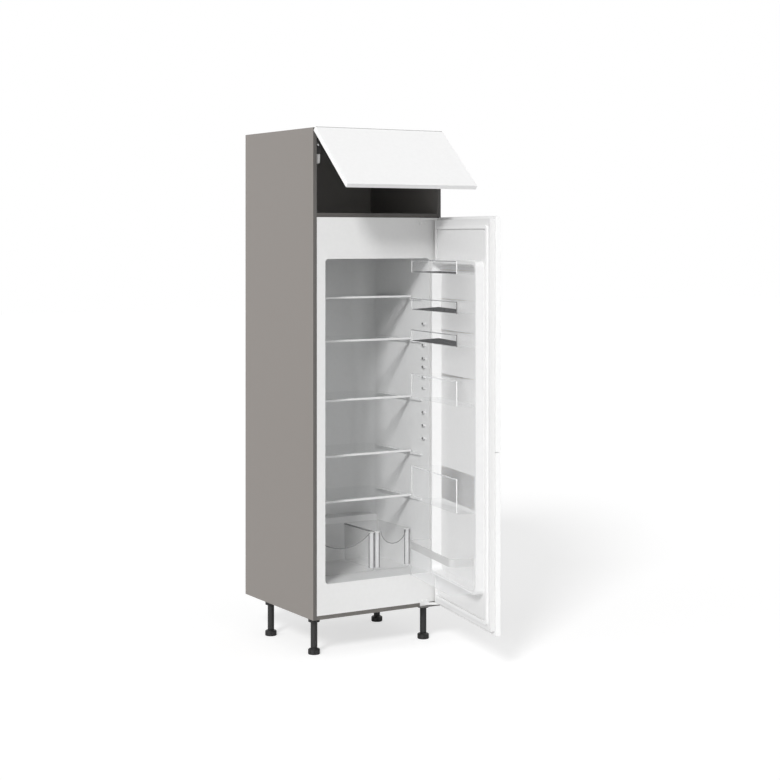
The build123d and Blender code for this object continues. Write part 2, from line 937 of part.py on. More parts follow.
def lift_units():
    units = []
    for x0 in (left + panel, right - panel - lift_width):
        z1 = top - lift_top
        y0 = front + lift_front
        unit = block(x0, x0 + lift_width, y0, y0 + lift_depth, z1 - lift_height, z1)
        units.append(fillet(unit.edges().filter_by(Axis.X), lift_corner))
    return Compound(children=units)


def shelf_glass_plate(height):
    z1 = bottom + height - shelf_recess
    x0 = opening_left + shelf_side_gap
    x1 = opening_right - shelf_side_gap
    y0 = front + shelf_front + shelf_trim_depth - shelf_grip
    plate = block(x0, x1, y0, front + shelf_back, z1 - shelf_glass, z1)
    return fillet(plate.edges().filter_by(Axis.Z).sort_by(Axis.Y)[-2:], shelf_corner)


def shelf_trim(height):
    """The bar along the front of a shelf, grooved for its glass, with a rail back along each side."""
    z1 = bottom + height
    z0 = z1 - shelf_trim_height
    glass_z1 = z1 - shelf_recess
    glass_z0 = glass_z1 - shelf_glass
    x0 = opening_left + shelf_side_gap
    x1 = opening_right - shelf_side_gap
    y0 = front + shelf_front
    y1 = y0 + shelf_trim_depth
    bar = block(x0, x1, y0, y1, z0, z1)
    bar = fillet(bar.edges().filter_by(Axis.X).group_by(Axis.Y)[0], shelf_trim_round)
    bar -= block(x0 - cut_past, x1 + cut_past, y1 - shelf_grip, y1 + cut_past, glass_z0, glass_z1)
    rail_back = front + shelf_back - shelf_rail_short
    for rail_x in (x0, x1 - shelf_rail_width):
        bar += block(rail_x, rail_x + shelf_rail_width, y1 - shelf_recess, rail_back, z0, glass_z0)
    return bar


def drawer(x0, x1):
    """An open box with round corner posts, a rolled rim and a low dip in its front wall."""
    y0 = front + drawer_front
    y1 = y0 + drawer_depth
    z0 = bottom + cavity_floor + drawer_floor_gap
    z1 = bottom + drawer_top
    outer = block(x0, x1, y0, y1, z0, z1)
    outer = fillet(outer.edges().filter_by(Axis.Z), drawer_post_radius)
    outer = fillet(outer.edges().group_by(Axis.Z)[0], drawer_foot_radius)
    inner = block(
        x0 + drawer_wall,
        x1 - drawer_wall,
        y0 + drawer_wall,
        y1 - drawer_wall,
        z0 + drawer_wall,
        z1 + drawer_wall,
    )
    inner = fillet(inner.edges().filter_by(Axis.Z), drawer_post_radius - drawer_wall)
    inner = fillet(inner.edges().group_by(Axis.Z)[0], drawer_foot_radius - drawer_wall)
    body = outer - inner
    half = (x1 - x0) / 2 - 2 * drawer_post_radius
    middle = (x0 + x1) / 2
    dip = Plane.XZ.offset(-(y0 - drawer_wall)) * make_face(
        [
            Line((middle - half, z1), (middle - half, z1 + drawer_wall)),
            Line((middle - half, z1 + drawer_wall), (middle + half, z1 + drawer_wall)),
            Line((middle + half, z1 + drawer_wall), (middle + half, z1)),
            ThreePointArc((middle + half, z1), (middle, z1 - drawer_dip), (middle - half, z1)),
        ]
    )
    body -= extrude(dip, -(drawer_wall + drawer_post_radius))
    radius = drawer_post_radius
    for x in (x0 + radius, x1 - radius):
        body += upright(radius, x, y0 + radius, z0 + drawer_foot_radius, z1)
    return body


def build():
    save(side_panel(left, left + panel), "left_side_panel")
    save(side_panel(right - panel, right - panel), "right_side_panel")
    save(vented_board(bottom, front), "bottom_panel")
    save(vented_board(niche_top, front), "middle_shelf")
    save(top_board(), "top_panel")
    save(upper_back(), "upper_back_panel")
    save(rear_rails(), "rear_rails")
    rows = {"front": front + leg_front_inset, "rear": front + leg_rear_inset}
    columns = {"left": left + leg_side_inset, "right": right - leg_side_inset}
    for row, y in rows.items():
        for column, x in columns.items():
            save(leg(x, y), f"leg_{row}_{column}")
            save(foot(x, y), f"foot_{row}_{column}")
    save(casing(), "appliance_casing")
    save(front_frame(), "appliance_front_frame")
    save(insulation(), "appliance_insulation")
    save(inner_liner(), "appliance_liner")
    save(lamp_housing(), "lamp_housing")
    save(compressor(), "compressor")
    save(evaporation_tray(), "evaporation_tray")
    save(condenser(), "condenser")
    save(cord_gland(), "cord_gland")
    save(upper_hinge(), "upper_hinge_bracket")
    save(lower_hinge(), "lower_hinge_bracket")
    save(door_open(door_outer_panel()), "door_outer_panel")
    save(door_open(door_foam()), "door_insulation")
    save(door_open(door_liner()), "door_liner")
    save(door_open(door_end_caps()), "door_end_caps")
    save(door_open(gasket()), "door_gasket")
    for index, (low, high) in enumerate(rack_levels):
        save(door_open(rack(bottom + low, bottom + high)), f"door_rack_{index + 1}")
    save(door_open(bottle_rack()), "bottle_rack")
    save(door_open(upper_front()), "upper_front")
    save(door_open(lower_front()), "lower_front")
    save(door_open(front_brackets()), "front_brackets")
    save(flap_open(flap_front()), "flap_front")
    save(flap_open(flap_fittings()), "flap_hinge_cups")
    save(flap_hinge_arms(), "flap_hinge_arms")
    save(lift_units(), "lift_units")
    for index, height in enumerate(shelf_tops):
        save(shelf_glass_plate(height), f"shelf_glass_{index + 1}")
        save(shelf_trim(height), f"shelf_trim_{index + 1}")
    x0 = opening_left + drawer_side_gap
    x1 = opening_right - drawer_side_gap
    split = left + drawer_split
    save(drawer(x0, split - drawer_split_gap / 2), "crisper_drawer_left")
    save(drawer(split + drawer_split_gap / 2, x1), "crisper_drawer_right")


build()
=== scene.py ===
import json
from math import asin, pi, radians

import bmesh
import bpy
from mathutils import Matrix, Vector


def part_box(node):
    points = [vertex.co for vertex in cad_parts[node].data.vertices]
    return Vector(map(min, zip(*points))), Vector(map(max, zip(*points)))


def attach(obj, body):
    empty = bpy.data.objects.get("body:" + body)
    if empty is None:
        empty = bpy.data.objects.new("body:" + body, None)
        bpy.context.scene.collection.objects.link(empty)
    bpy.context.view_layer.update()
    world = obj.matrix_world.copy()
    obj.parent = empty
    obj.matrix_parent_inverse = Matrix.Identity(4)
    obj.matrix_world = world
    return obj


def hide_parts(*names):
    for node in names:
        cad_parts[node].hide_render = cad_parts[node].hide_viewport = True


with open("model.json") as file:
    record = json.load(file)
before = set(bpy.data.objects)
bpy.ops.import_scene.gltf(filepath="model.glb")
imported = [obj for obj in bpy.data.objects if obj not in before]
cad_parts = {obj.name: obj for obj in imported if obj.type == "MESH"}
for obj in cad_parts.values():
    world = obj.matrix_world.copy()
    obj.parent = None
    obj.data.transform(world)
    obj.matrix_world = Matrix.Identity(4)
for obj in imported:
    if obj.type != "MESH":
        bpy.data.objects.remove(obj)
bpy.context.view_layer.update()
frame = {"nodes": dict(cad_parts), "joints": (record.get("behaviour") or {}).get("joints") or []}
nodes = frame["nodes"]

# Places read from the frame, in metres
SIDE_LOW, SIDE_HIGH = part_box("left_side_panel")
_, FAR_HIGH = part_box("right_side_panel")
LEFT_X, RIGHT_X = SIDE_LOW.x, FAR_HIGH.x
FRONT_Y = SIDE_LOW.y
CARCASS_Z, TOP_Z = SIDE_LOW.z, SIDE_HIGH.z
LIFT_LOW, LIFT_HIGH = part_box("lift_units")
JOINTS = {joint["name"]: joint for joint in frame["joints"]}
DOOR_PIVOT = Vector(JOINTS["door_hinge"]["pos_m"])
DOOR_ANGLE = radians(-JOINTS["door_hinge"]["range_deg"][0])
FLAP_FACE_REACH = 0.021
FLAP_FACE_Y = FRONT_Y - FLAP_FACE_REACH
FLAP_PIVOT = Vector(JOINTS["flap_hinge"]["pos_m"])
FLAP_ANGLE = radians(-JOINTS["flap_hinge"]["range_deg"][0])

# Camera of the photograph, worked out for a picture of 780 by 780
PICTURE = 780
CAMERA_PLACE = Vector((-3.536, -6.233, 1.661))
CAMERA_TURN = radians(-31.183)
FOCAL_PIXELS = 1709.2
HORIZON_ROW = 238.31
SENSOR = 36.0

# Light: strengths, directions of travel and angular sizes
AMBIENT = 0.41
KEY_STRENGTH = 2.0
KEY_DIRECTION = (0.65, 0.585, -0.556)
KEY_ANGLE = radians(13)
FRONT_STRENGTH = 0.45
FRONT_DIRECTION = (0.30, 1.0, 0.28)
FRONT_ANGLE = radians(60)
FILL_STRENGTH = 0.72
FILL_DIRECTION = (1.0, 0.12, -0.05)
FILL_ANGLE = radians(70)
FLOOR_TONE = 0.50
FLOOR_GLOW = 0.62
FLOOR_SIZE = 30.0

# Grain and relief shared by all surfaces
CLOUD_DETAIL = 5.0
GRAIN_DETAIL = 3.0
RELIEF_DEPTH = 0.001
ROUGHNESS_SPREAD = 0.05
LEAST_ROUGHNESS = 0.02
PLASTIC_INDEX = 1.45
EDGE_START = 0.12
EDGE_FULL = 0.45

FINISHES = {}
CLEAR_FINISHES = set()


def shade(colour):
    """A colour written as the eye sees it, from 0 to 1, turned into light values."""
    return tuple(c / 12.92 if c <= 0.04045 else ((c + 0.055) / 1.055) ** 2.4 for c in colour) + (1.0,)


def dim(colour, factor):
    """Light values made darker or lighter by a factor."""
    return tuple(min(1.0, c * factor) for c in colour[:3]) + (1.0,)


def finish(name, colour, roughness=0.45, metallic=0.0, speckle=0.03, cloud_scale=60.0,
           bump=0.02, grain_scale=400.0, coat=0.0, stretch=(1, 1, 1)):
    """A surface with a soft change of tone, a fine grain in its roughness and a shallow relief."""
    material = bpy.data.materials.new(name)
    material.use_nodes = True
    tree = material.node_tree
    shader = tree.nodes["Principled BSDF"]
    place = tree.nodes.new("ShaderNodeTexCoord")
    mapping = tree.nodes.new("ShaderNodeMapping")
    mapping.inputs["Scale"].default_value = stretch
    tree.links.new(place.outputs["Object"], mapping.inputs["Vector"])
    cloud = tree.nodes.new("ShaderNodeTexNoise")
    cloud.inputs["Scale"].default_value = cloud_scale
    cloud.inputs["Detail"].default_value = CLOUD_DETAIL
    tree.links.new(mapping.outputs["Vector"], cloud.inputs["Vector"])
    tone = tree.nodes.new("ShaderNodeMix")
    tone.data_type = "RGBA"
    tone.inputs["A"].default_value = dim(shade(colour), 1 - speckle)
    tone.inputs["B"].default_value = dim(shade(colour), 1 + speckle)
    tree.links.new(cloud.outputs["Fac"], tone.inputs["Factor"])
    tree.links.new(tone.outputs["Result"], shader.inputs["Base Color"])
    grain = tree.nodes.new("ShaderNodeTexNoise")
    grain.inputs["Scale"].default_value = grain_scale
    grain.inputs["Detail"].default_value = GRAIN_DETAIL
    tree.links.new(mapping.outputs["Vector"], grain.inputs["Vector"])
    rough = tree.nodes.new("ShaderNodeMapRange")
    rough.inputs["To Min"].default_value = max(LEAST_ROUGHNESS, roughness - ROUGHNESS_SPREAD)
    rough.inputs["To Max"].default_value = min(1.0, roughness + ROUGHNESS_SPREAD)
    tree.links.new(grain.outputs["Fac"], rough.inputs["Value"])
    tree.links.new(rough.outputs["Result"], shader.inputs["Roughness"])
    relief = tree.nodes.new("ShaderNodeBump")
    relief.inputs["Strength"].default_value = bump
    relief.inputs["Distance"].default_value = RELIEF_DEPTH
    tree.links.new(grain.outputs["Fac"], relief.inputs["Height"])
    tree.links.new(relief.outputs["Normal"], shader.inputs["Normal"])
    shader.inputs["Metallic"].default_value = metallic
    shader.inputs["Coat Weight"].default_value = coat
    FINISHES[name] = material
    return material


def clear(name, colour, face, rim, roughness=0.08, power=2.5, edge=None):
    """Clear plastic or glass: faces let light through, and it closes up where seen along the wall.

    An edge colour paints shade where the surface turns away from the eye.
    """
    material = finish(name, colour, roughness=roughness, speckle=0.01, bump=0.003, grain_scale=60.0)
    tree = material.node_tree
    shader = tree.nodes["Principled BSDF"]
    weight = tree.nodes.new("ShaderNodeLayerWeight")
    weight.inputs["Blend"].default_value = 0.5
    curve = tree.nodes.new("ShaderNodeMath")
    curve.operation = "POWER"
    curve.inputs[1].default_value = power
    tree.links.new(weight.outputs["Facing"], curve.inputs[0])
    cover = tree.nodes.new("ShaderNodeMapRange")
    cover.inputs["To Min"].default_value = face
    cover.inputs["To Max"].default_value = rim
    tree.links.new(curve.outputs["Value"], cover.inputs["Value"])
    tree.links.new(cover.outputs["Result"], shader.inputs["Alpha"])
    shader.inputs["IOR"].default_value = PLASTIC_INDEX
    CLEAR_FINISHES.add(name)
    if edge:
        before = shader.inputs["Base Color"].links[0].from_socket
        reach = tree.nodes.new("ShaderNodeMapRange")
        reach.inputs["From Min"].default_value = EDGE_START
        reach.inputs["From Max"].default_value = EDGE_FULL
        tree.links.new(weight.outputs["Facing"], reach.inputs["Value"])
        mix = tree.nodes.new("ShaderNodeMix")
        mix.data_type = "RGBA"
        mix.inputs["B"].default_value = shade(edge)
        tree.links.new(before, mix.inputs["A"])
        tree.links.new(reach.outputs["Result"], mix.inputs["Factor"])
        tree.links.new(mix.outputs["Result"], shader.inputs["Base Color"])
    return material


def split_tone(material, colour, axis, limit, above):
    """Gives a finish a second tone on one side of a plane across the axis."""
    tree = material.node_tree
    shader = tree.nodes["Principled BSDF"]
    place = next(node for node in tree.nodes if node.type == "TEX_COORD")
    before = shader.inputs["Base Color"].links[0].from_socket
    apart = tree.nodes.new("ShaderNodeSeparateXYZ")
    tree.links.new(place.outputs["Object"], apart.inputs["Vector"])
    test = tree.nodes.new("ShaderNodeMath")
    test.operation = "GREATER_THAN" if above else "LESS_THAN"
    test.inputs[1].default_value = limit
    tree.links.new(apart.outputs[axis], test.inputs[0])
    mix = tree.nodes.new("ShaderNodeMix")
    mix.data_type = "RGBA"
    mix.inputs["B"].default_value = shade(colour)
    tree.links.new(before, mix.inputs["A"])
    tree.links.new(test.outputs["Value"], mix.inputs["Factor"])
    tree.links.new(mix.outputs["Result"], shader.inputs["Base Color"])


# Board colours, and the depth of a board's laminated face
TAUPE = (0.522, 0.502, 0.485)
GRAPHITE = (0.37, 0.36, 0.35)
BLACK_BROWN = (0.46, 0.45, 0.44)
SKIN = 0.0004
LAMINATE = {"roughness": 0.5, "bump": 0.06, "grain_scale": 900.0, "cloud_scale": 12.0,
            "speckle": 0.02}


def make_finishes():
    """Every surface of the unit. A board has its own tone on its front edge and outer face; the darker
    front edges of the right side and of the cross boards also hold painted shade from the open flap, and
    the inner board is lightened with painted light.
    """
    left_board = finish("side_board_left", BLACK_BROWN, **LAMINATE)
    split_tone(left_board, GRAPHITE, "Y", FRONT_Y + SKIN, False)
    split_tone(left_board, TAUPE, "X", LEFT_X + SKIN, False)
    right_board = finish("side_board_right", BLACK_BROWN, **LAMINATE)
    # Darker than GRAPHITE: the edging's own tone with painted shade from the open flap.
    split_tone(right_board, (0.26, 0.255, 0.25), "Y", FRONT_Y + SKIN, False)
    split_tone(right_board, TAUPE, "X", RIGHT_X - SKIN, True)
    floor_board = finish("floor_board", BLACK_BROWN, **LAMINATE)
    split_tone(floor_board, (0.40, 0.39, 0.375), "Y", FRONT_Y + SKIN, False)
    cross_board = finish("cross_board", BLACK_BROWN, **LAMINATE)
    # Darker than GRAPHITE: the edging's own tone with painted shade from the open flap.
    split_tone(cross_board, (0.31, 0.30, 0.29), "Y", FRONT_Y + 10 * SKIN, False)
    # Lighter than BLACK_BROWN: painted light on the shaded upper back panel and rear rails.
    finish("inner_board_painted_light", (0.54, 0.53, 0.52), **LAMINATE)
    finish("black_moulding", (0.115, 0.115, 0.115), roughness=0.5, bump=0.08, grain_scale=500.0)
    finish("white_enamel", (0.885, 0.885, 0.883), roughness=0.32, coat=0.2)
    finish("liner_inside", (0.855, 0.857, 0.857), roughness=0.38, bump=0.03)
    finish("white_moulding", (0.885, 0.885, 0.885), roughness=0.38, bump=0.03)
    finish("white_lacquer", (0.952, 0.952, 0.952), roughness=0.3, coat=0.3, bump=0.01)
    finish("zinc_plate", (0.72, 0.72, 0.73), roughness=0.35, metallic=0.9, speckle=0.08,
           stretch=(1, 1, 12))
    finish("galvanised", (0.7, 0.71, 0.72), roughness=0.45, metallic=0.8, speckle=0.15, cloud_scale=25.0)
    finish("black_paint", (0.14, 0.14, 0.14), roughness=0.4, bump=0.05)
    finish("copper_pipe", (0.72, 0.45, 0.33), roughness=0.35, metallic=0.9, speckle=0.12)
    finish("foam_fill", (0.9, 0.82, 0.6), roughness=0.9, bump=0.4, grain_scale=250.0)
    finish("seal_rubber", (0.91, 0.91, 0.91), roughness=0.6, bump=0.05)
    finish("lamp_cover", (0.93, 0.93, 0.91), roughness=0.35, bump=0.1, grain_scale=150.0)
    lift = finish("lift_housing", (0.72, 0.72, 0.715), roughness=0.4, bump=0.03)
    split_tone(lift, (0.16, 0.16, 0.16), "Z", (LIFT_LOW.z + LIFT_HIGH.z) / 2, True)
    finish("screw_steel", (0.62, 0.62, 0.63), roughness=0.3, metallic=0.9, speckle=0.1)
    # Grey of the shelf stops: painted shade on the small stops.
    finish("stop_shade_grey", (0.42, 0.42, 0.42), roughness=0.45)
    clear("clear_tray", (0.93, 0.935, 0.94), face=0.03, rim=0.5, power=4.5)
    # A light veil on the drawer walls: painted light that lifts the shaded insides of the drawers.
    clear("clear_drawer_lightened", (0.94, 0.94, 0.94), face=0.11, rim=0.5, power=2.5)
    # Corner posts: a painted highlight in the middle and painted shade along their sides.
    clear("drawer_post", (0.84, 0.84, 0.845), face=0.85, rim=1.0, power=2.0,
          edge=(0.36, 0.36, 0.365))
    # Upper edges of the drawers: painted shade of the clear rims.
    clear("drawer_edge", (0.5, 0.5, 0.505), face=0.6, rim=0.8)
    clear("shelf_pane", (0.86, 0.89, 0.885), face=0.012, rim=0.07)
    # One clear rim in two copies: a painted shaded tone for the upper racks and a painted lit tone for
    # the lower ones.
    clear("rack_rim", (0.6, 0.605, 0.61), face=0.6, rim=0.8)
    clear("rack_rim_light", (0.86, 0.865, 0.87), face=0.45, rim=0.75)
    # Dark sheets of painted shade on the floors of the upper racks, with hardly any reflection.
    mat = finish("rack_shade_plate", (0.25, 0.25, 0.255), roughness=0.95, bump=0.03)
    mat.node_tree.nodes["Principled BSDF"].inputs["Specular IOR Level"].default_value = 0.05
    CLEAR_FINISHES.add("rack_shade_plate")
    # Corner rods in dark, white and faint white copies: painted reflection lines of the clear corners.
    clear("rack_corner", (0.42, 0.42, 0.425), face=0.9, rim=1.0)
    clear("rack_corner_light", (0.97, 0.97, 0.97), face=0.9, rim=1.0)
    clear("rack_corner_faint_highlight", (0.97, 0.97, 0.97), face=0.35, rim=0.6)
    clear("bottle_band", (0.80, 0.80, 0.80), face=0.7, rim=0.9)
    finish("painted_screw", (0.92, 0.92, 0.918), roughness=0.35, speckle=0.02)
    # Grey of the dark strips: board edge tone with painted shadow of the gaps.
    finish("edge_and_shadow_grey", (0.40, 0.395, 0.39), roughness=0.5, bump=0.04)


NODE_FINISH = {
    "left_side_panel": "side_board_left",
    "right_side_panel": "side_board_right",
    "bottom_panel": "floor_board",
    "middle_shelf": "cross_board",
    "top_panel": "cross_board",
    "upper_back_panel": "inner_board_painted_light",
    "rear_rails": "inner_board_painted_light",
    "appliance_casing": "galvanised",
    "appliance_front_frame": "white_enamel",
    "appliance_insulation": "foam_fill",
    "appliance_liner": "liner_inside",
    "lamp_housing": "lamp_cover",
    "compressor": "black_paint",
    "evaporation_tray": "black_moulding",
    "condenser": "black_paint",
    "cord_gland": "black_moulding",
    "upper_hinge_bracket": "white_enamel",
    "lower_hinge_bracket": "white_enamel",
    "flap_hinge_arms": "zinc_plate",
    "lift_units": "lift_housing",
    "door_outer_panel": "white_enamel",
    "door_insulation": "foam_fill",
    "door_liner": "white_moulding",
    "door_end_caps": "white_moulding",
    "door_gasket": "seal_rubber",
    "bottle_rack": "clear_tray",
    "upper_front": "white_lacquer",
    "lower_front": "white_lacquer",
    "front_brackets": "zinc_plate",
    "flap_front": "white_lacquer",
    "flap_hinge_cups": "zinc_plate",
    "crisper_drawer_left": "clear_drawer_lightened",
    "crisper_drawer_right": "clear_drawer_lightened",
}
FINISH_BY_START = {
    "leg_": "black_moulding",
    "foot_": "black_moulding",
    "shelf_glass": "shelf_pane",
    "shelf_trim": "white_moulding",
    "door_rack": "clear_tray",
}


def dress_frame():
    """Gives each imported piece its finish. Clear pieces throw no shadow."""
    for name, piece in nodes.items():
        start = next((key for key in FINISH_BY_START if name.startswith(key)), None)
        piece.data.materials.clear()
        chosen = NODE_FINISH.get(name) or FINISH_BY_START[start]
        piece.data.materials.append(FINISHES[chosen])
        piece.visible_shadow = chosen not in CLEAR_FINISHES


def door_swing():
    """Turns a piece drawn on the closed door to the door as photographed."""
    return (Matrix.Translation(DOOR_PIVOT) @ Matrix.Rotation(DOOR_ANGLE, 4, "Z")
            @ Matrix.Translation(-DOOR_PIVOT))


def flap_swing():
    """Turns a piece drawn on the closed flap to the flap as photographed."""
    return (Matrix.Translation(FLAP_PIVOT) @ Matrix.Rotation(FLAP_ANGLE, 4, Vector((-1, 0, 0)))
            @ Matrix.Translation(-FLAP_PIVOT))


SWINGS = {"door": door_swing(), "flap": flap_swing()}


def piece(name, shape, body, material, slot, smooth=30, closed=True):
    """Turns a finished shape into a piece of the scene. Door and flap pieces are drawn closed."""
    if closed and body in SWINGS:
        bmesh.ops.transform(shape, matrix=SWINGS[body], verts=shape.verts)
    bmesh.ops.recalc_face_normals(shape, faces=shape.faces)
    mesh = bpy.data.meshes.new(name)
    shape.to_mesh(mesh)
    shape.free()
    if smooth:
        mesh.shade_smooth()
        mesh.set_sharp_from_angle(angle=radians(smooth))
    mesh.materials.append(FINISHES[material])
    thing = bpy.data.objects.new(name, mesh)
    bpy.context.scene.collection.objects.link(thing)
    thing.visible_shadow = material not in CLEAR_FINISHES
    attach(thing, body)
    return thing


def slab(shape, low, high, soft=0.0006):
    """Adds a block between two corners, its edges softened."""
    low, high = Vector(low), Vector(high)
    size = high - low
    made = bmesh.ops.create_cube(shape, size=1.0)
    bmesh.ops.scale(shape, vec=size, verts=made["verts"])
    bmesh.ops.translate(shape, vec=(low + high) / 2, verts=made["verts"])
    edges = list({edge for vert in made["verts"] for edge in vert.link_edges})
    bmesh.ops.bevel(shape, geom=edges, offset=min(soft, min(size) / 3), offset_type="OFFSET",
                    segments=2, profile=0.5, affect="EDGES", material=-1)


def rod(shape, start, end, radius, end_radius=None, segments=20, soft=0.0):
    """Adds a round bar from start to end."""
    start, end = Vector(start), Vector(end)
    along = end - start
    turn = along.to_track_quat("Z", "Y").to_matrix().to_4x4()
    made = bmesh.ops.create_cone(
        shape, cap_ends=True, segments=segments, radius1=radius,
        radius2=radius if end_radius is None else end_radius, depth=along.length,
        matrix=Matrix.Translation((start + end) / 2) @ turn)
    if soft:
        caps = [edge for edge in {e for v in made["verts"] for e in v.link_edges}
                if any(len(face.verts) > 4 for face in edge.link_faces)]
        bmesh.ops.bevel(shape, geom=caps, offset=soft, offset_type="OFFSET", segments=2,
                        profile=0.5, affect="EDGES", material=-1)


def fence(shape, line, z0, z1, thickness, rounding):
    """Adds a thin wall that follows a line of corners, with its corners rounded."""
    verts = [shape.verts.new((x, y, z0)) for x, y in line]
    edges = [shape.edges.new(pair) for pair in zip(verts, verts[1:])]
    corners = verts[1:-1]
    bmesh.ops.bevel(shape, geom=corners + edges, offset=rounding, offset_type="OFFSET",
                    segments=4, profile=0.5, affect="VERTICES", material=-1)
    foot = [edge for edge in shape.edges if edge.is_wire]
    made = bmesh.ops.extrude_edge_only(shape, edges=foot)
    top = [item for item in made["geom"] if isinstance(item, bmesh.types.BMVert)]
    bmesh.ops.translate(shape, vec=(0, 0, z1 - z0), verts=top)
    bmesh.ops.recalc_face_normals(shape, faces=shape.faces)
    bmesh.ops.solidify(shape, geom=shape.faces[:], thickness=thickness)


def plate(shape, line, z0, z1, rounding):
    """Adds a flat plate of the given outline, its corners rounded."""
    face = shape.faces.new([shape.verts.new((x, y, z0)) for x, y in line])
    bmesh.ops.bevel(shape, geom=list(face.verts), offset=rounding, offset_type="OFFSET",
                    segments=4, profile=0.5, affect="VERTICES", material=-1)
    made = bmesh.ops.extrude_face_region(shape, geom=shape.faces[:])
    top = [item for item in made["geom"] if isinstance(item, bmesh.types.BMVert)]
    bmesh.ops.translate(shape, vec=(0, 0, z1 - z0), verts=top)


# Racks on the door, drawn closed
RACK_HANDLE_X = LEFT_X + 0.085
RACK_HINGE_X = RIGHT_X - 0.067
RACK_ROOT_Y = FRONT_Y + 0.031
RACK_HANDLE_Y = FRONT_Y + 0.092
RACK_HINGE_Y = FRONT_Y + 0.119
RACK_COUNT = 5
# Upper racks drawn in painted shade: dark rims and dark floor sheets.
SHADED_RACKS = 3
WELD_DISTANCE = 0.00002
PROUD = 0.0003
LIP_HEIGHT = 0.0035
LIP_DEPTH = 0.003
LIP_ROUNDING = 0.0005
CORNER_INSET = 0.018
CORNER_SET_BACK = 0.0018
CORNER_RADIUS = 0.0019
BACK_CORNER_INSET = 0.003
BACK_CORNER_RADIUS = 0.0016
CORNER_FOOT = 0.001
CORNER_SEGMENTS = 16
CORNER_SOFT = 0.0005

# Dark sheets of painted shade on the floors of the upper racks. The tilts are in degrees, from the top
# rack down
SHADE_PLATE_INSET = 0.004
SHADE_PLATE_ROOT_GAP = 0.002
SHADE_PLATE_FOOT = 0.0027
SHADE_PLATE_TOP = 0.0042
SHADE_PLATE_ROUNDING = 0.002
SHADE_PLATE_CUT_BACK = 0.095
SHADE_PLATE_SIGHT_SHIFT = 0.145
SHADE_PLATE_TILTS = (2.0, 8.2, 9.3)


def clear_shell(name, body, material):
    """The outer skin of a clear tray, so that few clear layers lie one behind another."""
    low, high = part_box(name)
    middle = (low + high) / 2
    shape = bmesh.new()
    shape.from_mesh(nodes[name].data)
    bmesh.ops.remove_doubles(shape, verts=shape.verts, dist=WELD_DISTANCE)
    inner = [face for face in shape.faces
             if face.normal.dot(face.calc_center_median() - middle) < 0]
    bmesh.ops.delete(shape, geom=inner, context="FACES")
    shell = piece(f"{name}_shell", shape, body, material, "clear_plastic", closed=False)
    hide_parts(name)


def rack_front(x):
    """Depth of the slanted front wall at a place along the rack."""
    share = (x - RACK_HANDLE_X) / (RACK_HINGE_X - RACK_HANDLE_X)
    return RACK_HANDLE_Y + share * (RACK_HINGE_Y - RACK_HANDLE_Y)


def rack_lip(index, high):
    """The thick upper edge of a rack's front wall, painted darker on the upper racks as shade and
    lighter on the lower ones as light.
    """
    corner_x = RACK_HANDLE_X + CORNER_INSET
    line = [(corner_x, rack_front(corner_x) + PROUD), (RACK_HINGE_X, RACK_HINGE_Y + PROUD),
            (RACK_HINGE_X, RACK_HINGE_Y - LIP_DEPTH), (corner_x, rack_front(corner_x) - LIP_DEPTH)]
    shape = bmesh.new()
    plate(shape, line, high.z - LIP_HEIGHT, high.z + PROUD, LIP_ROUNDING)
    tone = "rack_rim" if index <= SHADED_RACKS else "rack_rim_light"
    piece(f"rack_lip_{index}", shape, "door", tone, "clear_plastic")


def rack_corner(name, x, y, low, high, radius, material):
    """A round corner of a rack, from just above its floor to its rim, coloured as a painted reflection
    line.
    """
    shape = bmesh.new()
    rod(shape, (x, y, low.z + CORNER_FOOT), (x, y, high.z), radius,
        segments=CORNER_SEGMENTS, soft=CORNER_SOFT)
    piece(name, shape, "door", material, "clear_plastic")


def shade_plate_line():
    """Outline of a dark sheet of painted shade, with both ends slanted along the line of sight."""
    corner_x = RACK_HANDLE_X + CORNER_INSET
    root_y = RACK_ROOT_Y + SHADE_PLATE_ROOT_GAP
    return [
        (corner_x + SHADE_PLATE_SIGHT_SHIFT, root_y),
        (corner_x, RACK_HANDLE_Y - SHADE_PLATE_INSET),
        (RACK_HINGE_X - SHADE_PLATE_INSET, RACK_HINGE_Y - SHADE_PLATE_INSET),
        (RACK_HINGE_X - SHADE_PLATE_CUT_BACK, root_y),
    ]


def rack_shade_plate(index, low):
    """A dark sheet of painted shade that leans up towards the door, turned about its front edge."""
    line = shade_plate_line()
    shape = bmesh.new()
    plate(shape, line, low.z + SHADE_PLATE_FOOT, low.z + SHADE_PLATE_TOP, SHADE_PLATE_ROUNDING)
    front_corner = Vector((*line[1], low.z + SHADE_PLATE_FOOT))
    along = Vector((*line[2], low.z + SHADE_PLATE_FOOT)) - front_corner
    bmesh.ops.rotate(shape, cent=front_corner, verts=shape.verts,
                     matrix=Matrix.Rotation(-radians(SHADE_PLATE_TILTS[index - 1]), 3, along))
    piece(f"rack_shade_plate_{index}", shape, "door", "rack_shade_plate", "clear_plastic")


def dress_racks():
    """Clear skins, rims and corners of the five door racks, and dark sheets of painted shade on the
    floors of the upper three.
    """
    corner_x = RACK_HANDLE_X + CORNER_INSET
    for index in range(1, RACK_COUNT + 1):
        name = f"door_rack_{index}"
        low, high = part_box(name)
        clear_shell(name, "door", "clear_tray")
        rack_lip(index, high)
        # Corner tone: painted reflection, white on the top rack and the lower racks, dark on the others.
        tone = "_light" if index == 1 or index > SHADED_RACKS else ""
        rack_corner(f"rack_corner_{index}", corner_x, rack_front(corner_x) - CORNER_SET_BACK,
                    low, high, CORNER_RADIUS, f"rack_corner{tone}")
        rack_corner(f"rack_back_corner_{index}", RACK_HINGE_X - BACK_CORNER_INSET,
                    RACK_HINGE_Y - BACK_CORNER_INSET, low, high, BACK_CORNER_RADIUS,
                    "rack_corner_faint_highlight")
        if index <= SHADED_RACKS:
            rack_shade_plate(index, low)


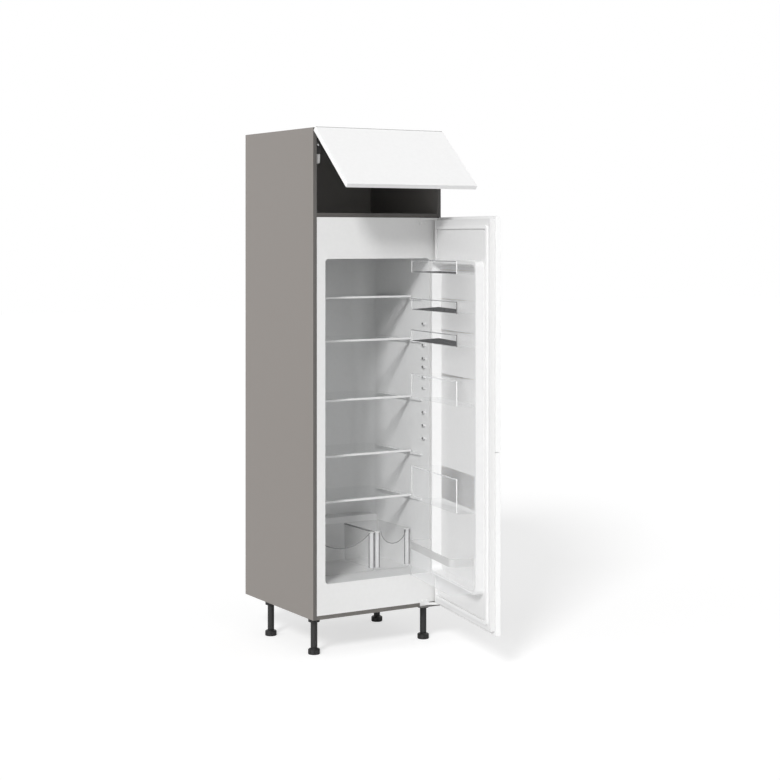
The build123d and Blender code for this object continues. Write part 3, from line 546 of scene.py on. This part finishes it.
# Bottle rack: a deep clear tray with a frosted band round its rim
BOTTLE_REACH = 0.125
BOTTLE_WALL = 0.0025
BOTTLE_CORNER = 0.020
BOTTLE_BASE_CORNER = 0.008
BAND_TOP = 0.285
BAND_FOOT = 0.254


def dress_bottle_rack():
    """The bottle rack as a straight tray: its clear walls, its base and its frosted band."""
    low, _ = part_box("bottle_rack")
    front_y = FRONT_Y + BOTTLE_REACH
    line = [(RACK_HANDLE_X, RACK_ROOT_Y), (RACK_HANDLE_X, front_y), (RACK_HINGE_X, front_y),
            (RACK_HINGE_X, RACK_ROOT_Y)]
    band_foot = CARCASS_Z + BAND_FOOT
    walls = bmesh.new()
    fence(walls, line, low.z + BOTTLE_WALL, band_foot, BOTTLE_WALL, BOTTLE_CORNER)
    shell = piece("bottle_rack_shell", walls, "door", "clear_tray", "clear_plastic")
    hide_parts("bottle_rack")
    base = bmesh.new()
    plate(base, line, low.z, low.z + BOTTLE_WALL, BOTTLE_BASE_CORNER)
    piece("bottle_rack_base", base, "door", "clear_tray", "clear_plastic")
    band = bmesh.new()
    fence(band, line, band_foot, CARCASS_Z + BAND_TOP, BOTTLE_WALL, BOTTLE_CORNER)
    piece("bottle_rack_band", band, "door", "bottle_band", "clear_plastic")


# Crisper drawers: the middle of a post lies this far inside the drawer's corner
DRAWER_POST = 0.0125
POST_RADIUS = 0.0115
POST_FOOT = 0.012
POST_SEGMENTS = 28
CAP_HEIGHT = 0.003
CAP_RADIUS = 0.0118
CAP_SOFT = 0.0008
WALL_EDGE = 0.004
DRAWER_DIP = 0.054
DIP_EDGE_RADIUS = 0.0016
DIP_EDGE_SIDES = 8
DIP_STEPS = 24


def dip_edge(shape, low, high):
    """Adds the round edge of the dip in a drawer's front wall, swept along an arc."""
    half = (high.x - low.x) / 2 - 2 * DRAWER_POST
    reach = (half ** 2 + DRAWER_DIP ** 2) / (2 * DRAWER_DIP)
    middle = (low.x + high.x) / 2
    hub = Vector((middle, low.y, high.z - DRAWER_DIP + reach))
    swing = asin(half / reach)
    lowest = Matrix.Translation((middle, low.y + DIP_EDGE_RADIUS, high.z - DRAWER_DIP))
    profile = bmesh.ops.create_circle(shape, segments=DIP_EDGE_SIDES, radius=DIP_EDGE_RADIUS,
                                      matrix=lowest @ Matrix.Rotation(pi / 2, 4, "Y"))["verts"]
    ring = profile + list({edge for vert in profile for edge in vert.link_edges})
    bmesh.ops.rotate(shape, cent=hub, matrix=Matrix.Rotation(-swing, 3, "Y"), verts=profile)
    bmesh.ops.spin(shape, geom=ring, cent=hub, axis=(0, 1, 0), angle=2 * swing,
                   steps=DIP_STEPS, use_duplicate=False)


def drawer_details():
    """Corner posts painted with a light middle and shaded sides, their caps, and dark upper edges of the
    two crisper drawers painted as the shade of their clear rims.
    """
    for side in ("left", "right"):
        name = body = f"crisper_drawer_{side}"
        low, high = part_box(name)
        clear_shell(name, body, "clear_drawer_lightened")
        posts = bmesh.new()
        caps = bmesh.new()
        y = low.y + DRAWER_POST
        cap_z = high.z - CAP_HEIGHT
        for x in (low.x + DRAWER_POST, high.x - DRAWER_POST):
            rod(posts, (x, y, low.z + POST_FOOT), (x, y, cap_z), POST_RADIUS,
                segments=POST_SEGMENTS)
            rod(caps, (x, y, cap_z), (x, y, high.z), CAP_RADIUS, segments=POST_SEGMENTS,
                soft=CAP_SOFT)
        edges = bmesh.new()
        wall_x, way = (high.x, -1) if side == "left" else (low.x, 1)
        near_x = wall_x + way * WALL_EDGE
        slab(edges, (min(wall_x, near_x), y, high.z - WALL_EDGE),
             (max(wall_x, near_x), high.y - DRAWER_POST, high.z))
        dip_edge(edges, low, high)
        piece(f"drawer_posts_{side}", posts, body, "drawer_post", "clear_plastic")
        piece(f"drawer_caps_{side}", caps, body, "white_moulding", "clear_plastic")
        piece(f"drawer_edges_{side}", edges, body, "drawer_edge", "clear_plastic")


# Screws: the head's radius and height, and the raised middle as shares of that radius
SCREW_RADIUS = 0.0042
HEAD_HEIGHT = 0.0012
CROWN_HEIGHT = 0.0016
HEAD_TAPER = 0.75
CROWN_FOOT = 0.42
CROWN_TIP = 0.36
HINGE_PLATE = 0.003
HINGE_SCREWS = (0.010, 0.030)
UPPER_SCREW_DROP = 0.004
LOWER_SCREW_RISE = 0.021


def screw(shape, centre, facing):
    """A round screw head with a slight dome that looks along the facing direction."""
    centre, facing = Vector(centre), Vector(facing).normalized()
    crown = centre + facing * HEAD_HEIGHT
    rod(shape, centre, crown, SCREW_RADIUS, SCREW_RADIUS * HEAD_TAPER, segments=16)
    rod(shape, crown, centre + facing * CROWN_HEIGHT, SCREW_RADIUS * CROWN_FOOT,
        SCREW_RADIUS * CROWN_TIP, segments=6)


def hinge_screws():
    """Two screws in the plate of each door hinge."""
    shape = bmesh.new()
    for name in ("upper_hinge_bracket", "lower_hinge_bracket"):
        low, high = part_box(name)
        for along in HINGE_SCREWS:
            if name.startswith("upper"):
                z = (low.z + high.z) / 2 - UPPER_SCREW_DROP
            else:
                z = low.z + LOWER_SCREW_RISE
            screw(shape, (low.x + along, FRONT_Y - HINGE_PLATE, z), (0, -1, 0))
    piece("hinge_screws", shape, "housing", "painted_screw", "zinc")


# Stops on the liner's side walls: heights above the carcass's underside
NOSE_HEIGHTS = (1.158, 1.070, 1.015, 0.980, 0.937, 0.892, 0.792, 0.738, 0.6845)
LINER_LEFT_X = LEFT_X + 0.055
LINER_RIGHT_X = RIGHT_X - 0.055
NOSE_Y = FRONT_Y + 0.042
NOSE_REACH = 0.008
STOP_SUNK = 0.001
STOP_PROUD = 0.0022
STOP_RADIUS = 0.0052
STOP_TIP = 0.0044
STOP_SOFT = 0.0005


def shelf_pins():
    """Dark caps on the small stops in front of the shelf supports; their grey is painted shade."""
    shape = bmesh.new()
    for height in NOSE_HEIGHTS:
        z = CARCASS_Z + height
        for x, way in ((LINER_LEFT_X + NOSE_REACH, 1), (LINER_RIGHT_X - NOSE_REACH, -1)):
            rod(shape, (x - way * STOP_SUNK, NOSE_Y, z), (x + way * STOP_PROUD, NOSE_Y, z),
                STOP_RADIUS, STOP_TIP, soft=STOP_SOFT)
    piece("shelf_stop_caps", shape, "housing", "stop_shade_grey", "grey_plastic")


# Lift-up fittings: pivot tip and cover screws, from the fitting's lower front corner
LIFT_COVER = 0.019
TIP_X = 0.0125
TIP_Y = 0.005
TIP_DROP = 0.006
TIP_RISE = 0.004
TIP_RADIUS = 0.004
TIP_END = 0.0032
TIP_SOFT = 0.0008
COVER_SCREWS = ((0.020, 0.020), (0.070, 0.020), (0.045, 0.055))


def lift_details():
    """Pivot tip and cover screws of each lift-up fitting."""
    tips = bmesh.new()
    screws = bmesh.new()
    for x, way in ((LIFT_LOW.x, 1), (LIFT_HIGH.x, -1)):
        tip_x, tip_y = x + way * TIP_X, LIFT_LOW.y + TIP_Y
        rod(tips, (tip_x, tip_y, LIFT_HIGH.z - TIP_DROP), (tip_x, tip_y, LIFT_HIGH.z + TIP_RISE),
            TIP_RADIUS, TIP_END, soft=TIP_SOFT)
        for y, z in COVER_SCREWS:
            place = (x + way * LIFT_COVER, LIFT_LOW.y + y, LIFT_LOW.z + z)
            screw(screws, place, (way, 0, 0))
    piece("lift_pivot_tips", tips, "housing", "white_moulding", "white_plastic")
    piece("lift_cover_screws", screws, "housing", "screw_steel", "zinc")


def tube(name, points, radius, material, slot):
    """A bent metal pipe through a few points."""
    line = bpy.data.curves.new(name, "CURVE")
    line.dimensions = "3D"
    line.bevel_depth = radius
    line.bevel_resolution = 3
    line.use_fill_caps = True
    spline = line.splines.new("NURBS")
    spline.points.add(len(points) - 1)
    for point, place in zip(spline.points, points):
        point.co = (*place, 1.0)
    spline.order_u = 3
    spline.use_endpoint_u = True
    holder = bpy.data.objects.new(name + "_line", line)
    bpy.context.scene.collection.objects.link(holder)
    bpy.context.view_layer.update()
    mesh = bpy.data.meshes.new_from_object(holder)
    bpy.data.objects.remove(holder)
    shape = bmesh.new()
    shape.from_mesh(mesh)
    bpy.data.meshes.remove(mesh)
    piece(name, shape, "housing", material, slot, smooth=50)


# Compressor fittings, measured from the compressor's box unless named otherwise
TERMINAL_OUT = 0.012
TERMINAL_IN = 0.02
TERMINAL_HALF = 0.024
TERMINAL_FOOT = 0.045
TERMINAL_TOP = 0.100
TERMINAL_SOFT = 0.004
SEAM_RISE = 0.085
SEAM_HALF = 0.003
SEAM_SPREAD = 0.004
SEAM_DEPTH = 0.121
SEAM_SOFT = 0.02
PIPE_RISE = 0.10
PIPE_BEND = 0.03
PIPE_LIFT = 0.12
PIPE_RADIUS = 0.003
COIL_PLANE = 0.018
COIL_INSET = 0.06
COIL_GAP = 0.02
COIL_JOIN = 0.017


def rear_details():
    """Terminal box, weld seam and pressure pipe of the compressor."""
    pot_low, pot_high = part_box("compressor")
    grid_low, grid_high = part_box("condenser")
    middle_y = (pot_low.y + pot_high.y) / 2
    box = bmesh.new()
    slab(box, (pot_low.x - TERMINAL_OUT, middle_y - TERMINAL_HALF, pot_low.z + TERMINAL_FOOT),
         (pot_low.x + TERMINAL_IN, middle_y + TERMINAL_HALF, pot_low.z + TERMINAL_TOP),
         soft=TERMINAL_SOFT)
    piece("compressor_terminal_box", box, "housing", "black_moulding", "black_plastic")
    seam = bmesh.new()
    waist = pot_low.z + SEAM_RISE
    rod(seam, (0, middle_y, waist - SEAM_HALF), (0, middle_y, waist + SEAM_HALF), 0.5,
        segments=48, soft=SEAM_SOFT)
    bmesh.ops.scale(seam, vec=(pot_high.x - pot_low.x + SEAM_SPREAD, SEAM_DEPTH, 1.0),
                    verts=seam.verts, space=Matrix.Translation((0, -middle_y, 0)))
    piece("compressor_weld_seam", seam, "housing", "black_paint", "black_steel")
    pipe_z = pot_low.z + PIPE_RISE
    coil_x, coil_y = grid_high.x - COIL_INSET, grid_low.y + COIL_PLANE
    points = [
        (pot_high.x - PIPE_BEND, middle_y, pipe_z),
        (pot_high.x + PIPE_BEND, middle_y, pipe_z),
        (coil_x, middle_y, pipe_z),
        (coil_x, coil_y, pot_low.z + PIPE_LIFT),
        (coil_x, coil_y, grid_low.z - COIL_GAP),
        (coil_x, coil_y, grid_low.z + COIL_JOIN),
    ]
    tube("compressor_pressure_pipe", points, PIPE_RADIUS, "copper_pipe", "zinc")


# Painted shadow strip on the flap, collars of the legs and painted shadow strip under the lower hinge
STRIP_INSET = 0.003
STRIP_PROUD = 0.0003
STRIP_DEPTH = 0.001
STRIP_FOOT = 0.0046
STRIP_TOP = 0.0025
STRIP_SOFT = 0.0002
COLLAR_HEIGHT = 0.021
COLLAR_GAP = 0.0002
COLLAR_RADIUS = 0.0232
COLLAR_SOFT = 0.0012
HINGE_SHADOW_OVERLAP = 0.006
HINGE_SHADOW_END = 0.012
HINGE_SHADOW_FRONT = 0.018
HINGE_SHADOW_BACK = 0.001
HINGE_SHADOW_FOOT = 0.0040
HINGE_SHADOW_GAP = 0.0003


def flap_gap_shadow_strip():
    """Thin dark strip along the upper edge of the flap, where it meets the top board: the board's dark
    edge with painted shadow of the gap.
    """
    shape = bmesh.new()
    face_y = FLAP_FACE_Y - STRIP_PROUD
    slab(shape, (LEFT_X + STRIP_INSET, face_y, TOP_Z - STRIP_FOOT),
         (RIGHT_X - STRIP_INSET, face_y + STRIP_DEPTH, TOP_Z - STRIP_TOP), soft=STRIP_SOFT)
    piece("flap_gap_shadow_strip", shape, "flap", "edge_and_shadow_grey", "front_lacquer")


def leg_collars():
    """The wide plate at the top of each leg."""
    shape = bmesh.new()
    for name in nodes:
        if name.startswith("leg_"):
            low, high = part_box(name)
            x, y = (low.x + high.x) / 2, (low.y + high.y) / 2
            rod(shape, (x, y, CARCASS_Z - COLLAR_HEIGHT), (x, y, CARCASS_Z - COLLAR_GAP),
                COLLAR_RADIUS, segments=40, soft=COLLAR_SOFT)
    piece("leg_collars", shape, "housing", "black_moulding", "black_plastic")


def hinge_shadow_strip():
    """Dark strip under the arm of the lower door hinge: the bottom board's dark front edge with painted
    hinge shadow.
    """
    low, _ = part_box("lower_hinge_bracket")
    shape = bmesh.new()
    slab(shape, (low.x - HINGE_SHADOW_OVERLAP, FRONT_Y - HINGE_SHADOW_FRONT, low.z - HINGE_SHADOW_FOOT),
         (RIGHT_X - HINGE_SHADOW_END, FRONT_Y - HINGE_SHADOW_BACK, low.z - HINGE_SHADOW_GAP))
    piece("lower_hinge_shadow_strip", shape, "housing", "edge_and_shadow_grey", "zinc")


def camera():
    """The photograph's camera. Its lens is shifted, so upright edges stay upright."""
    data = bpy.data.cameras.new("camera")
    data.sensor_width = SENSOR
    data.lens = FOCAL_PIXELS / PICTURE * SENSOR
    data.shift_y = (HORIZON_ROW - PICTURE / 2) / PICTURE
    eye = bpy.data.objects.new("camera", data)
    eye.location = CAMERA_PLACE
    eye.rotation_euler = (pi / 2, 0, CAMERA_TURN)
    bpy.context.scene.collection.objects.link(eye)
    bpy.context.scene.camera = eye


def sun(name, energy, direction, angle):
    """A far light whose rays travel along the direction."""
    data = bpy.data.lights.new(name, "SUN")
    data.energy = energy
    data.angle = angle
    thing = bpy.data.objects.new(name, data)
    thing.rotation_euler = Vector(direction).to_track_quat("-Z", "Y").to_euler()
    bpy.context.scene.collection.objects.link(thing)


def studio():
    """White surroundings for the eye, softer ones for the light, and three far lights."""
    world = bpy.data.worlds.new("studio")
    bpy.context.scene.world = world
    world.use_nodes = True
    tree = world.node_tree
    glow = tree.nodes["Background"]
    glow.inputs["Color"].default_value = (1, 1, 1, 1)
    ray = tree.nodes.new("ShaderNodeLightPath")
    seen = ray.outputs["Is Camera Ray"]
    for kind in ("Is Transmission Ray", "Is Glossy Ray"):
        either = tree.nodes.new("ShaderNodeMath")
        either.operation = "MAXIMUM"
        tree.links.new(seen, either.inputs[0])
        tree.links.new(ray.outputs[kind], either.inputs[1])
        seen = either.outputs["Value"]
    level = tree.nodes.new("ShaderNodeMapRange")
    level.inputs["To Min"].default_value = AMBIENT
    level.inputs["To Max"].default_value = 1.0
    tree.links.new(seen, level.inputs["Value"])
    tree.links.new(level.outputs["Result"], glow.inputs["Strength"])
    sun("key", KEY_STRENGTH, KEY_DIRECTION, KEY_ANGLE)
    sun("fill", FILL_STRENGTH, FILL_DIRECTION, FILL_ANGLE)
    sun("front", FRONT_STRENGTH, FRONT_DIRECTION, FRONT_ANGLE)


def floor():
    """A pale sheet that keeps the cast shadow but lets the light from below through."""
    shape = bmesh.new()
    bmesh.ops.create_grid(shape, x_segments=1, y_segments=1, size=FLOOR_SIZE)
    mesh = bpy.data.meshes.new("floor")
    shape.to_mesh(mesh)
    shape.free()
    ground = bpy.data.objects.new("floor", mesh)
    ground.visible_shadow = False
    bpy.context.scene.collection.objects.link(ground)
    material = finish("floor_paper", (0.955, 0.955, 0.955), roughness=0.9, speckle=0.0, bump=0.0)
    mesh.materials.append(material)
    tree = material.node_tree
    shader = tree.nodes["Principled BSDF"]
    out = tree.nodes["Material Output"]
    ray = tree.nodes.new("ShaderNodeLightPath")
    glow = tree.nodes.new("ShaderNodeEmission")
    glow.inputs["Strength"].default_value = FLOOR_GLOW
    paper = tree.nodes.new("ShaderNodeBsdfDiffuse")
    paper.inputs["Color"].default_value = (FLOOR_TONE, FLOOR_TONE, FLOOR_TONE, 1.0)
    both = tree.nodes.new("ShaderNodeAddShader")
    mix = tree.nodes.new("ShaderNodeMixShader")
    tree.links.new(paper.outputs["BSDF"], both.inputs[0])
    tree.links.new(glow.outputs["Emission"], both.inputs[1])
    tree.links.new(ray.outputs["Is Camera Ray"], mix.inputs["Fac"])
    tree.links.new(shader.outputs["BSDF"], mix.inputs[1])
    tree.links.new(both.outputs["Shader"], mix.inputs[2])
    tree.links.new(mix.outputs["Shader"], out.inputs["Surface"])


make_finishes()
dress_frame()
dress_racks()
dress_bottle_rack()
hinge_screws()
shelf_pins()
lift_details()
rear_details()
flap_gap_shadow_strip()
leg_collars()
hinge_shadow_strip()
drawer_details()
camera()
studio()
floor()

bpy.context.scene.view_settings.view_transform = "Standard"
